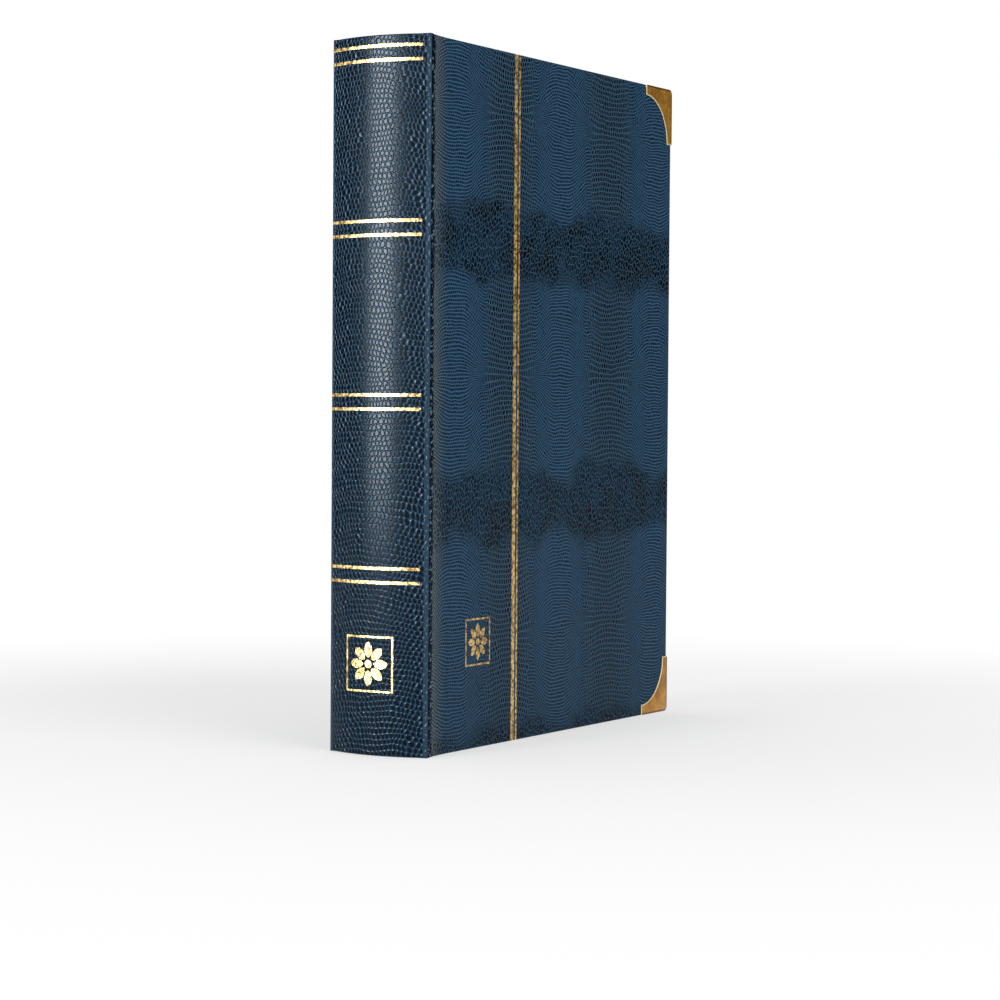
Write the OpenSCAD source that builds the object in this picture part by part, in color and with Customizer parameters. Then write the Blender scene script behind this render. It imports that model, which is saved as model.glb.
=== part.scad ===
// Stockbook-style stamp album: a case binding round two half blocks of pocket leaves.
// X runs from the spine to the fore edge, Y through the thickness, Z up from the tail to the head.
// The album stands closed on its tail edge, with its front cover towards -Y.

/* [Case] */
// Height of the covers and the spine
cover_h = 305; // [250:1:340]
// Width of a cover, from the joint ridge to the fore edge
cover_w = 224; // [190:1:260]
// Thickness of a cover board
board_t = 2.3; // [1.6:0.1:3.5]
// Thickness of the leatherette
leather_t = 0.5; // [0.3:0.05:0.8]
// Rounding of the leatherette round the board edges
edge_r = 1.0; // [0.4:0.1:1.3]
// Thickness of the leatherette where it is turned in behind the boards
turn_in_t = 0.3; // [0.2:0.05:0.5]
// Width of the turned-in leatherette
turn_in_w = 14; // [8:1:20]
// Thickness of the endpapers
endpaper_t = 0.25; // [0.15:0.05:0.4]
// Strip of turned-in leatherette left bare round the endpapers
endpaper_margin = 4; // [2:0.5:6]
// Width of the flexible joint between the ridge and the board
joint_gap = 7; // [5:0.5:10]
// Height of the joint ridge above the flat of the cover
shoulder_h = 1.65; // [0.8:0.05:2.5]
// Width over which the ridge falls to the flat of the cover
shoulder_w = 18; // [12:1:24]
// Width of the joint cloth glued behind each board
cloth_w = 20; // [10:1:30]
// Thickness of the joint cloth
cloth_t = 0.3; // [0.2:0.05:0.4]

/* [Spine] */
// Rise of the rounded spine above the line between the joint ridges
spine_rise = 6; // [3:0.5:9]
// Thickness of the spine board
spine_board_t = 1.5; // [1:0.1:2.2]
// Distance between an edge of the spine board and its joint ridge
spine_board_inset = 1.8; // [1.5:0.1:3]
// Thickness of the paper lining inside the spine
lining_t = 0.3; // [0.2:0.05:0.5]
// Distance from the joint ridge line to the back of the leaf block
block_setback = 3.5; // [3:0.25:6]

/* [Leaves] */
// Distance from one leaf to the next
leaf_pitch = 1.25; // [1.15:0.05:1.4]
// Thickness of the card of a leaf
card_t = 0.4; // [0.3:0.05:0.45]
// How far the leaves stay inside the cover at head, tail and fore edge
square = 4; // [3:0.5:6]
// Width of the paper guard at the back of a leaf
guard_w = 8; // [6:0.5:12]
// Clearance between the guards of two leaves
guard_clear = 0.08; // [0.05:0.01:0.12]
// Width of the bare linen hinge between guard and card
linen_gap = 4; // [3:0.5:6]
// Width of the linen glued over the edge of the card
linen_lap = 8; // [5:0.5:12]
// Thickness of the linen
linen_t = 0.3; // [0.2:0.05:0.3]
// Rounding of the outer corners of a leaf
leaf_corner_r = 1.5; // [0.5:0.5:6]

/* [Pockets] */
// Number of pocket strips on each side of a leaf, if its height holds them
strips = 9; // [4:1:9]
// Distance from one pocket strip to the next
strip_pitch = 29.5; // [26:0.5:40]
// Height of a pocket strip
strip_h = 18.6; // [10:0.2:24]
// Distance from the top of a leaf to the top of its first strip
strip_top = 31; // [20:1:40]
// Least distance from the last strip to the foot of a leaf
strip_foot = 8; // [4:1:11]
// Distance from the fore edge of a leaf to the end of its strips
strip_margin_fore = 10; // [6:1:20]
// Distance from the linen to the other end of the strips
strip_margin_back = 6; // [3:1:20]
// Thickness of the glassine of a strip
film_t = 0.1; // [0.08:0.01:0.12]
// Width of the hollow between a strip and its card
pocket_gap = 0.1; // [0.08:0.01:0.12]
// Width of the glue seam at the foot and the ends of a strip
seam_w = 2; // [1:0.5:4]

/* [Interleaves] */
// Thickness of the glassine interleaves
glassine_t = 0.08; // [0.06:0.01:0.1]
// Distance that an interleaf stays inside the fore edge of its leaf
glassine_margin = 8; // [4:1:16]
// Distance that an interleaf stays inside the head and tail of its leaf
glassine_inset = 2; // [1:0.5:6]
// Rounding of the outer corners of an interleaf
glassine_corner_r = 12; // [4:1:24]
// Width of the glue foot of the lower loose interleaf
glue_foot_w = 2; // [1:0.5:3]

/* [Corners] */
// Length of a brass corner along each edge
corner_leg = 27; // [20:1:36]
// Width of a brass corner at the ends of its legs
corner_tip = 5; // [3:0.5:9]
// Length of the plate of a brass corner inside the cover
corner_inner_leg = 18; // [12:1:24]
// Width of that inner plate at the ends of its legs
corner_inner_tip = 4; // [2:0.5:6]
// Thickness of the brass
brass_t = 0.4; // [0.3:0.05:0.6]
// Rounding of the outer point of a brass corner
corner_r = 2.5; // [1:0.25:4]

/* [Tooling] */
// Thickness of the gold foil
foil_t = 0.12; // [0.08:0.01:0.2]
// Distance from the joint ridge to the middle of the double rule on the front cover
rule_x = 74.2; // [40:0.5:120]
// Width of the broad line of the double rule
rule_wide = 2.7; // [1:0.1:4]
// Width of the fine line of the double rule
rule_fine = 1.3; // [0.6:0.1:3]
// Gap between the two lines of the double rule
rule_gap = 1.1; // [0.5:0.1:3]
// Height of a gold band on the spine
band_h = 1.3; // [0.8:0.1:3]
// Distance between the two bands of a pair
band_gap = 6; // [3:0.1:12]
// Height of the middle of the lowest pair of bands
band_low = 76.8; // [70:0.1:100]
// Distance from one pair of bands to the next
band_pitch = 73.5; // [50:0.1:110]
// Number of pairs of bands, if the height of the spine holds them
band_pairs = 4; // [1:1:4]
// Distance between the ends of centred bands and the joint ridges
band_end = 2; // [2:0.1:10]
// Outer size of the square emblem on the front cover
cover_emblem = 20.7; // [12:0.1:26]
// Distance from the joint ridge to the middle of the cover emblem
cover_emblem_x = 42.8; // [20:0.1:50]
// Height of the middle of the cover emblem
cover_emblem_z = 46.4; // [30:0.1:60]
// Outer size of the square emblem on the spine
spine_emblem = 24; // [12:0.5:26]
// Height of the middle of the spine emblem
spine_emblem_z = 39; // [30:0.1:55]
// Distance from the middle of the spine to the middle of its tooling, towards the back cover
spine_tooling_y = 1.5; // [-2:0.1:2]
// Line width of the emblem frames
emblem_line = 0.8; // [0.4:0.1:1.5]
// Number of petals of the emblem rosette
petals = 8; // [5:1:12]

/* [Hidden] */
LEAVES_PER_HALF = 16;
$fn = 64;

// Through the thickness, from the middle of the closed album outwards
half_block = LEAVES_PER_HALF * leaf_pitch;
block_clear = 0.05;
y_endpaper = half_block + block_clear;
y_turn_in = y_endpaper + endpaper_t;
y_board_in = y_turn_in + turn_in_t;
y_board_out = y_board_in + board_t;
y_cover = y_board_out + leather_t;
y_ridge = y_cover + shoulder_h;

// Along the width, with the origin under the middle of the album
x_ridge = spine_rise - (cover_w + spine_rise) / 2;
x_fore = x_ridge + cover_w;
x_board = x_ridge + joint_gap;
x_guard = x_ridge + block_setback;
x_linen = x_guard + guard_w;
x_card = x_linen + linen_gap;
x_leaf = x_fore - square;

// Spine section, as depths below its outer face
spine_board_depth = leather_t + spine_board_t;
spine_lining_depth = spine_board_depth + lining_t;
spine_board_w = 2 * (y_ridge - spine_board_inset);

// Leaf section, from the middle plane of the leaf outwards
leaf_h = cover_h - 2 * square;
film_y = card_t / 2 + pocket_gap;
guard_t = leaf_pitch - guard_clear;
glassine_y = guard_t / 2 - glassine_t;
linen_lap_t = 0.05;

// Rows along the height, each with as many copies as asked for, up to what fits
function copies(number, room, pitch) = min(number, 1 + floor(room / pitch));
strip_copies = copies(strips, leaf_h - strip_top - strip_h - strip_foot, strip_pitch);
band_copies = copies(band_pairs, cover_h - band_low - (band_gap + band_h) / 2, band_pitch);

// Rounded spine
spine_R = (pow(y_ridge, 2) + pow(spine_rise, 2)) / (2 * spine_rise);
spine_cx = x_ridge - spine_rise + spine_R;

// Shoulder beside the ridge, a hollow arc that ends level with the cover
shoulder_R = (pow(shoulder_w, 2) + pow(shoulder_h, 2)) / (2 * shoulder_h);

// A box between two corners
module span(low, high) {
    translate(low)
        cube(high - low);
}

// Stands a drawing of the XZ plane up, as a slab from y0 to y1
module slab(y0, y1) {
    translate([0, y1, 0])
        rotate([90, 0, 0])
            linear_extrude(y1 - y0)
                children();
}

module to_front() {
    mirror([0, 1, 0])
        children();
}

module to_head() {
    translate([0, 0, cover_h])
        mirror([0, 0, 1])
            children();
}

module at_both_ends() {
    children();
    to_head()
        children();
}

// The pieces of a cover are drawn on the +Y side, for the back cover

// Section of the leatherette with its board, seen along Z, from the mitre at the ridge to the fore edge
module cover_outline() {
    difference() {
        polygon([[x_ridge, y_ridge], [x_ridge + shoulder_w, y_ridge], [x_ridge + shoulder_w, y_cover],
            [x_fore, y_cover], [x_fore, y_turn_in], [x_board, y_turn_in], [x_board, y_board_out],
            [x_ridge + leather_t, y_ridge - leather_t]]);
        translate([x_ridge + shoulder_w, y_cover + shoulder_R])
            circle(shoulder_R, $fn = 256);
        difference() {
            translate([x_fore - edge_r, y_cover - edge_r])
                square(edge_r + 1);
            translate([x_fore - edge_r, y_cover - edge_r])
                circle(edge_r);
        }
    }
}

// Room for the board inside the leatherette, open towards the joint
module board_room() {
    span([x_board - 1, y_board_in, leather_t], [x_fore - leather_t, y_board_out, cover_h - leather_t]);
}

// Room that the turned-in border leaves behind the board
module window_room() {
    span([x_board - 1, y_turn_in - 1, turn_in_w],
        [x_fore - turn_in_w, y_board_in + 0.01, cover_h - turn_in_w]);
}

module cover_leather() {
    difference() {
        linear_extrude(cover_h)
            cover_outline();
        board_room();
        window_room();
        at_both_ends()
            corner_room();
    }
}

module board() {
    difference() {
        span([x_board, y_board_in, leather_t], [x_fore - leather_t, y_board_out, cover_h - leather_t]);
        at_both_ends()
            corner_room();
    }
}

// Pasted over the turned-in border, and down onto the board between
module endpaper() {
    difference() {
        union() {
            span([x_board, y_endpaper, endpaper_margin],
                [x_fore - endpaper_margin, y_turn_in, cover_h - endpaper_margin]);
            span([x_board + cloth_w, y_turn_in, turn_in_w],
                [x_fore - turn_in_w, y_board_in, cover_h - turn_in_w]);
        }
        at_both_ends()
            corner_room();
    }
}

// Cloth that lines the joint and turns in behind the board
module joint_cloth() {
    mitre_in = leather_t + sqrt(2) * cloth_t;
    translate([0, 0, turn_in_w])
        linear_extrude(cover_h - 2 * turn_in_w)
            polygon([[x_ridge + leather_t, y_ridge - leather_t], [x_board, y_board_out],
                [x_board, y_board_in], [x_board + cloth_w, y_board_in], [x_board + cloth_w, y_turn_in],
                [x_board - cloth_t, y_turn_in], [x_board - cloth_t, y_board_out - cloth_t],
                [x_ridge + mitre_in, y_ridge - mitre_in]]);
}

// Brass corners, drawn at the tail end of the fore edge

// Plate with two legs and a hollow arc between their tips
module corner_plate(leg, tip) {
    difference() {
        translate([x_fore - leg, 0])
            square(leg);
        translate([x_fore - leg, leg])
            circle(leg - tip);
        corner_point();
    }
}

// What the rounding takes off the outer point
module corner_point() {
    difference() {
        translate([x_fore - corner_r, -1])
            square([corner_r + 1, corner_r + 1]);
        translate([x_fore - corner_r, corner_r])
            circle(corner_r);
    }
}

// Walls round the edges, which reach past the cover by over
module corner_wall(over) {
    difference() {
        translate([x_fore - corner_leg, -over])
            square(corner_leg + over);
        translate([x_fore - corner_leg - 1, brass_t])
            square([corner_leg + 1 - corner_r, corner_leg]);
        translate([x_fore - corner_leg, corner_r])
            square([corner_leg - brass_t, corner_leg]);
        translate([x_fore - corner_r, corner_r])
            circle(corner_r - brass_t);
    }
}

module brass_corner() {
    slab(y_cover, y_cover + brass_t)
        corner_plate(corner_leg, corner_tip);
    slab(y_endpaper, y_endpaper + brass_t)
        corner_plate(corner_inner_leg, corner_inner_tip);
    slab(y_endpaper, y_cover + brass_t)
        difference() {
            corner_wall(0);
            corner_point();
        }
}

// The covers are pressed in under a corner, so that its walls lie level with their edges
module corner_room() {
    slab(y_endpaper - 1, y_cover + 1)
        corner_wall(1);
    slab(y_endpaper - 1, y_endpaper + brass_t)
        corner_plate(corner_inner_leg, corner_inner_tip);
}

// Rounded spine, drawn as bands of one arc

// The wedge between the two mitres
module spine_wedge() {
    x_back = x_ridge - spine_R;
    polygon([[x_back, -y_ridge], [x_ridge, -y_ridge], [x_ridge + y_ridge, 0], [x_ridge, y_ridge],
        [x_back, y_ridge]]);
}

// Section between two depths below the outer face, over a width w of the spine
module spine_band(depth0, depth1, w) {
    difference() {
        intersection() {
            translate([spine_cx, 0])
                circle(spine_R - depth0, $fn = 256);
            spine_wedge();
            translate([x_ridge - spine_R, -w / 2])
                square([2 * spine_R, w]);
        }
        translate([spine_cx, 0])
            circle(spine_R - depth1, $fn = 256);
    }
}

module rise(z0, z1) {
    translate([0, 0, z0])
        linear_extrude(z1 - z0)
            children();
}

module spine_leather_shell() {
    rise(0, cover_h)
        spine_band(0, leather_t, 2 * y_ridge);
    at_both_ends() {
        rise(0, leather_t)
            spine_band(leather_t / 2, spine_lining_depth, spine_board_w);
        rise(0, turn_in_w)
            spine_band(spine_board_depth, spine_lining_depth, spine_board_w);
    }
}

module spine_plate() {
    rise(leather_t, cover_h - leather_t)
        spine_band(leather_t, spine_board_depth, spine_board_w);
}

module spine_paper() {
    rise(turn_in_w, cover_h - turn_in_w)
        spine_band(spine_board_depth, spine_lining_depth, spine_board_w);
}

// Gold tooling

// A petal with two round sides and two points, standing on the origin
module petal(l, w) {
    r = (pow(l, 2) + pow(w, 2)) / (4 * w);
    intersection() {
        translate([r - w / 2, l / 2])
            circle(r);
        translate([w / 2 - r, l / 2])
            circle(r);
    }
}

// Square frame round a rosette
module emblem(size) {
    inner = size - 2 * emblem_line;
    heart_r = size / 14;
    petal_l = inner / 2 - 2.5 * heart_r;
    difference() {
        square(size, center = true);
        square(inner, center = true);
    }
    circle(heart_r);
    for (i = [0 : petals - 1])
        rotate(i * 360 / petals)
            translate([0, 1.5 * heart_r])
                petal(petal_l, 4.6 * petal_l / petals);
}

module cover_tooling() {
    wide_x = x_ridge + rule_x - (rule_wide + rule_gap + rule_fine) / 2;
    fine_x = wide_x + rule_wide + rule_gap;
    span([wide_x, y_cover, 0], [wide_x + rule_wide, y_cover + foil_t, cover_h]);
    span([fine_x, y_cover, 0], [fine_x + rule_fine, y_cover + foil_t, cover_h]);
    slab(y_cover, y_cover + foil_t)
        translate([x_ridge + cover_emblem_x, cover_emblem_z])
            emblem(cover_emblem);
}

module foil_band(w) {
    difference() {
        intersection() {
            translate([spine_cx, 0])
                circle(spine_R + foil_t, $fn = 256);
            translate([x_ridge - spine_R, spine_tooling_y - w / 2])
                square([spine_R, w]);
        }
        translate([spine_cx, 0])
            circle(spine_R, $fn = 256);
    }
}

module spine_tooling() {
    for (i = [0 : band_copies - 1], side = [-1, 1]) {
        z = band_low + i * band_pitch + side * band_gap / 2;
        rise(z - band_h / 2, z + band_h / 2)
            foil_band(2 * (y_ridge - band_end));
    }
    intersection() {
        rise(0, cover_h)
            foil_band(spine_emblem + 1);
        translate([x_ridge, spine_tooling_y, spine_emblem_z])
            rotate([90, 0, -90])
                linear_extrude(2 * spine_rise)
                    emblem(spine_emblem);
    }
}

// Leaves, drawn round the plane y = 0

// Outline of a sheet in the XZ plane, with its two outer corners rounded
module sheet_outline(x0, x1, z0, z1, r) {
    translate([x0, z0])
        square([x1 - r - x0, z1 - z0]);
    translate([x1 - r, z0 + r])
        square([r, z1 - z0 - 2 * r]);
    for (z = [z0 + r, z1 - r])
        translate([x1 - r, z])
            circle(r);
}

module leaf_sheet(y0, y1, x0) {
    slab(y0, y1)
        sheet_outline(x0, x_leaf, square, square + leaf_h, leaf_corner_r);
}

module glassine_sheet(y0, x0) {
    slab(y0, y0 + glassine_t)
        sheet_outline(x0, x_leaf - glassine_margin, square + glassine_inset,
            square + leaf_h - glassine_inset, glassine_corner_r);
}

// A strip glued at its foot and its ends, and open at its top
module pocket_strip(z0) {
    x0 = x_card + linen_lap + strip_margin_back;
    x1 = x_leaf - strip_margin_fore;
    difference() {
        span([x0, card_t / 2, z0], [x1, film_y + film_t, z0 + strip_h]);
        span([x0 + seam_w, card_t / 2, z0 + seam_w], [x1 - seam_w, film_y, z0 + strip_h + 1]);
    }
}

module page() {
    top = square + leaf_h - strip_top;
    for (i = [0 : strip_copies - 1])
        pocket_strip(top - strip_h - i * strip_pitch);
}

module bare_leaf() {
    span([x_guard, -guard_t / 2, square], [x_linen, guard_t / 2, square + leaf_h]);
    span([x_linen, -linen_t / 2, square], [x_card, linen_t / 2, square + leaf_h]);
    lap_y = card_t / 2 + linen_lap_t;
    span([x_card, -lap_y, square], [x_card + linen_lap, lap_y, square + leaf_h]);
    leaf_sheet(-card_t / 2, card_t / 2, x_card);
    page();
    to_front()
        page();
}

// Middle plane of leaf n, counted from the front cover
function leaf_y(n) = (n - LEAVES_PER_HALF - 0.5) * leaf_pitch;

module leaf(n) {
    translate([0, leaf_y(n), 0])
        bare_leaf();
}

// A leaf with the glassine interleaf that is bound in with its guard, on the side of the middle opening
module leaf_with_interleaf(n) {
    leaf(n);
    y0 = n <= LEAVES_PER_HALF ? glassine_y : -glassine_y - glassine_t;
    translate([0, leaf_y(n), 0])
        glassine_sheet(y0, x_linen - 1);
}

// The two loose interleaves of the middle opening
module lower_interleaf() {
    foot_x = x_linen + guard_clear;
    y0 = guard_clear / 2;
    glassine_sheet(y0, foot_x);
    span([foot_x, y0, square + glassine_inset],
        [foot_x + glue_foot_w, leaf_y(LEAVES_PER_HALF + 1) - linen_t / 2, square + leaf_h - glassine_inset]);
}

module upper_interleaf() {
    glassine_sheet(-guard_clear / 2 - glassine_t, x_linen + guard_clear);
}

module front_board() {
    color("burlywood")
        to_front()
            board();
}

module back_board() {
    color("burlywood")
        board();
}

module spine_board() {
    color("tan")
        spine_plate();
}

module front_cover_leather() {
    color("midnightblue")
        to_front()
            cover_leather();
}

module back_cover_leather() {
    color("midnightblue")
        cover_leather();
}

module spine_leather() {
    color("midnightblue")
        spine_leather_shell();
}

module front_endpaper() {
    color("white")
        to_front()
            endpaper();
}

module back_endpaper() {
    color("white")
        endpaper();
}

module spine_lining() {
    color("tan")
        spine_paper();
}

module front_joint_cloth() {
    color("gainsboro")
        to_front()
            joint_cloth();
}

module back_joint_cloth() {
    color("gainsboro")
        joint_cloth();
}

module front_top_corner() {
    color("goldenrod")
        to_front()
            to_head()
                brass_corner();
}

module front_bottom_corner() {
    color("goldenrod")
        to_front()
            brass_corner();
}

module back_top_corner() {
    color("goldenrod")
        to_head()
            brass_corner();
}

module back_bottom_corner() {
    color("goldenrod")
        brass_corner();
}

module front_gold_tooling() {
    color("gold")
        to_front()
            cover_tooling();
}

module spine_gold_tooling() {
    color("gold")
        spine_tooling();
}

module white_leaf(n) {
    color("white")
        leaf_with_interleaf(n);
}

// The two leaves of the middle opening have the loose interleaves between them
module middle_leaf(n) {
    color("white")
        leaf(n);
}

module interleaf_lower() {
    color("whitesmoke")
        lower_interleaf();
}

module interleaf_upper() {
    color("whitesmoke")
        upper_interleaf();
}

front_board();
back_board();
spine_board();
front_cover_leather();
back_cover_leather();
spine_leather();
front_endpaper();
back_endpaper();
spine_lining();
front_joint_cloth();
back_joint_cloth();
front_top_corner();
front_bottom_corner();
back_top_corner();
back_bottom_corner();
front_gold_tooling();
spine_gold_tooling();
white_leaf(1);  // leaf_01
white_leaf(2);  // leaf_02
white_leaf(3);  // leaf_03
white_leaf(4);  // leaf_04
white_leaf(5);  // leaf_05
white_leaf(6);  // leaf_06
white_leaf(7);  // leaf_07
white_leaf(8);  // leaf_08
white_leaf(9);  // leaf_09
white_leaf(10);  // leaf_10
white_leaf(11);  // leaf_11
white_leaf(12);  // leaf_12
white_leaf(13);  // leaf_13
white_leaf(14);  // leaf_14
white_leaf(15);  // leaf_15
middle_leaf(16);  // leaf_16
middle_leaf(17);  // leaf_17
white_leaf(18);  // leaf_18
white_leaf(19);  // leaf_19
white_leaf(20);  // leaf_20
white_leaf(21);  // leaf_21
white_leaf(22);  // leaf_22
white_leaf(23);  // leaf_23
white_leaf(24);  // leaf_24
white_leaf(25);  // leaf_25
white_leaf(26);  // leaf_26
white_leaf(27);  // leaf_27
white_leaf(28);  // leaf_28
white_leaf(29);  // leaf_29
white_leaf(30);  // leaf_30
white_leaf(31);  // leaf_31
white_leaf(32);  // leaf_32
interleaf_lower();
interleaf_upper();
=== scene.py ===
"""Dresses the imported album: leatherette case, gold foil, brass corners, pocket leaves and glassine.

Every piece is laid out from the frame's own boxes, in metres: X runs from the spine to the fore edge,
Y through the thickness with the front cover towards -Y, and Z up from the tail to the head.

In the finishes, a scale is that of a noise, per metre, a span is where a ramp starts and ends, and a
share is how much of an effect shows.
"""

import logging
import math
from collections.abc import Callable
from dataclasses import dataclass, field
from enum import Enum

import bpy
from mathutils import Matrix, Vector


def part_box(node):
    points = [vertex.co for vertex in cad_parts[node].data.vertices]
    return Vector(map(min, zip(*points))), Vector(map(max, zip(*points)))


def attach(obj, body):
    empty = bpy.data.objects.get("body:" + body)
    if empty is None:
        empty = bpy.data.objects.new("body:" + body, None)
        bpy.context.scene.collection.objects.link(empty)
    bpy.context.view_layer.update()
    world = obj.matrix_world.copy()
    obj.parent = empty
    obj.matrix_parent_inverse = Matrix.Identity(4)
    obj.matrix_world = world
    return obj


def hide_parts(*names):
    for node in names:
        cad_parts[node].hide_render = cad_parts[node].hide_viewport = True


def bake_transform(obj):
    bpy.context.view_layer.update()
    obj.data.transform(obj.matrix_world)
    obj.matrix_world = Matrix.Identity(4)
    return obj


MM = 0.001
SAME_PLACE = 0.002 * MM
SAME_FACE = math.radians(0.3)
LOG = logging.getLogger("album")

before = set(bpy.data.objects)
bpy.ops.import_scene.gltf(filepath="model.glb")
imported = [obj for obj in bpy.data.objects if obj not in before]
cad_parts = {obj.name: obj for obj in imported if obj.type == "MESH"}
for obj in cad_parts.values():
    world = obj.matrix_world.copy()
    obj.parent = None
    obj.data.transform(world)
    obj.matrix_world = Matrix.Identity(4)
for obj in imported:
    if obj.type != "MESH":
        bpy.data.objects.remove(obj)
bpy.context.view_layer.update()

Socket = bpy.types.NodeSocket
Place = tuple[float, float, float]
Span = tuple[float, float]
Colour = tuple[float, float, float, float]


# Shader graphs


class Graph:
    """Adds and links the nodes of one shader tree."""

    def __init__(self, tree: bpy.types.NodeTree) -> None:
        """Starts with a tree that is filled from left to right."""
        self.tree = tree

    def node(self, kind: str, **settings: object) -> bpy.types.Node:
        """Adds a node and sets its properties.

        Args:
            kind: The node's type name.
            settings: Properties of the node, by name.

        Returns:
            The new node.
        """
        made = self.tree.nodes.new(kind)
        made.location = (190.0 * len(self.tree.nodes), 0.0)
        for name, value in settings.items():
            setattr(made, name, value)
        return made

    def feed(self, socket: Socket, value: object) -> None:
        """Links a socket to another one, or sets its value.

        Args:
            socket: The socket.
            value: The socket that feeds it, or its value.
        """
        if isinstance(value, bpy.types.NodeSocket):
            self.tree.links.new(value, socket)
        else:
            socket.default_value = value

    def math(self, operation: str, *values: object) -> Socket:
        """Adds a Math node.

        Args:
            operation: The node's operation.
            values: Its inputs, each a number or a socket.

        Returns:
            The result's socket.
        """
        made = self.node("ShaderNodeMath", operation=operation)
        for socket, value in zip(made.inputs, values):
            self.feed(socket, value)
        return made.outputs[0]

    def vector(self, x: object, y: object, z: object = 0.0) -> Socket:
        """Adds a vector.

        Args:
            x: Its first part, a number or a socket, as the others are.
            y: Its second part.
            z: Its third part.

        Returns:
            The vector's socket.
        """
        made = self.node("ShaderNodeCombineXYZ")
        for socket, value in zip(made.inputs, (x, y, z)):
            self.feed(socket, value)
        return made.outputs[0]

    def ramp(self, value: object, low: object, high: object, start: float = 0.0, end: float = 1.0) -> Socket:
        """Adds a smooth ramp.

        Args:
            value: What is ramped.
            low: The value at which the ramp starts.
            high: The value at which it ends.
            start: The result up to low.
            end: The result from high on.

        Returns:
            The result's socket.
        """
        made = self.node("ShaderNodeMapRange", interpolation_type="SMOOTHSTEP", clamp=True)
        for socket, given in zip(made.inputs, (value, low, high, start, end)):
            self.feed(socket, given)
        return made.outputs[0]

    def mix(self, factor: object, first: object, second: object, blend: str = "MIX") -> Socket:
        """Mixes two colours.

        Args:
            factor: How much of the second one shows.
            first: The first colour.
            second: The second colour.
            blend: The way of mixing.

        Returns:
            The mix's socket.
        """
        made = self.node("ShaderNodeMix", data_type="RGBA", blend_type=blend)
        self.feed(made.inputs[0], factor)
        self.feed(made.inputs[6], first)
        self.feed(made.inputs[7], second)
        return made.outputs[2]

    def blend(self, factor: object, first: object, second: object) -> Socket:
        """Mixes two numbers.

        Args:
            factor: How much of the second one counts.
            first: The first number.
            second: The second number.

        Returns:
            The mix's socket.
        """
        made = self.node("ShaderNodeMix", data_type="FLOAT")
        self.feed(made.inputs[0], factor)
        self.feed(made.inputs[2], first)
        self.feed(made.inputs[3], second)
        return made.outputs[0]

    def noise(self, vector: object, scale: float, detail: float = 3.0, roughness: float = 0.55) -> Socket:
        """Adds a noise in three dimensions.

        Args:
            vector: The place.
            scale: The noise's scale, per metre.
            detail: Its octaves.
            roughness: How much each octave adds to the last.

        Returns:
            The socket of the noise, from 0 to 1.
        """
        made = self.node("ShaderNodeTexNoise", noise_dimensions="3D")
        self.feed(made.inputs["Vector"], vector)
        made.inputs["Scale"].default_value = scale
        made.inputs["Detail"].default_value = detail
        made.inputs["Roughness"].default_value = roughness
        return made.outputs["Fac"]

    def waver(self, vector: Socket, scale: float, detail: float, width: float) -> Socket:
        """Returns a noise value around 0, up to half the width to each side."""
        return self.math("MULTIPLY_ADD", self.noise(vector, scale, detail), width, -width / 2.0)

    def off_middle(self, place: Socket, start: Socket) -> Socket:
        """Returns how far a place lies from the middle of its cell: 0 there and 1 at its sides."""
        inward = self.math("PINGPONG", self.math("SUBTRACT", place, start), 0.5)
        return self.math("MULTIPLY_ADD", inward, -2.0, 1.0)

    def reach(self, first: Socket, second: Socket) -> Socket:
        """Returns the length of a step made of two parts at right angles."""
        squares = [self.math("MULTIPLY", part, part) for part in (first, second)]
        return self.math("SQRT", self.math("ADD", *squares))

    def shaded(self, colour: object, value: Socket, share: float, least: float) -> Socket:
        """Shades a colour.

        Args:
            colour: The colour.
            value: What shades it, from 0 to 1.
            share: How much brighter the colour is where the value is 1.
            least: The brightness where the value is 0.

        Returns:
            The shaded colour.
        """
        shade = self.math("MULTIPLY_ADD", value, share, least)
        return self.mix(1.0, colour, self.vector(shade, shade, shade), "MULTIPLY")

    def seen(self) -> Socket:
        """Tells what is seen from what lights.

        Returns:
            1 to the camera, reflections and glass, and 0 to the light that falls on the pieces.
        """
        rays = self.node("ShaderNodeLightPath").outputs
        mirrored = self.math("MAXIMUM", rays["Is Glossy Ray"], rays["Is Transmission Ray"])
        return self.math("MAXIMUM", rays["Is Camera Ray"], mirrored)

    def place(self) -> Socket:
        """Returns the place on the piece, in the album's frame."""
        return self.node("ShaderNodeTexCoord").outputs["Object"]

    def split(self, vector: Socket) -> tuple[Socket, Socket, Socket]:
        """Splits a vector.

        Args:
            vector: The vector.

        Returns:
            Its three parts.
        """
        made = self.node("ShaderNodeSeparateXYZ")
        self.feed(made.inputs[0], vector)
        return made.outputs[0], made.outputs[1], made.outputs[2]

    def group(self, tree: bpy.types.NodeTree, **values: object) -> bpy.types.Node:
        """Places a node group, with its inputs set by name.

        Args:
            tree: The group.
            values: Inputs by name, with _ for a space.

        Returns:
            The group's node.
        """
        made = self.node("ShaderNodeGroup", node_tree=tree)
        for name, value in values.items():
            self.feed(made.inputs[name.replace("_", " ")], value)
        return made


@dataclass(frozen=True)
class GroupSocket:
    """One named socket of a node group."""

    name: str
    kind: str = "NodeSocketFloat"


def numbers(*names: str) -> list[GroupSocket]:
    """Returns a number socket for each name."""
    return [GroupSocket(name) for name in names]


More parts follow.
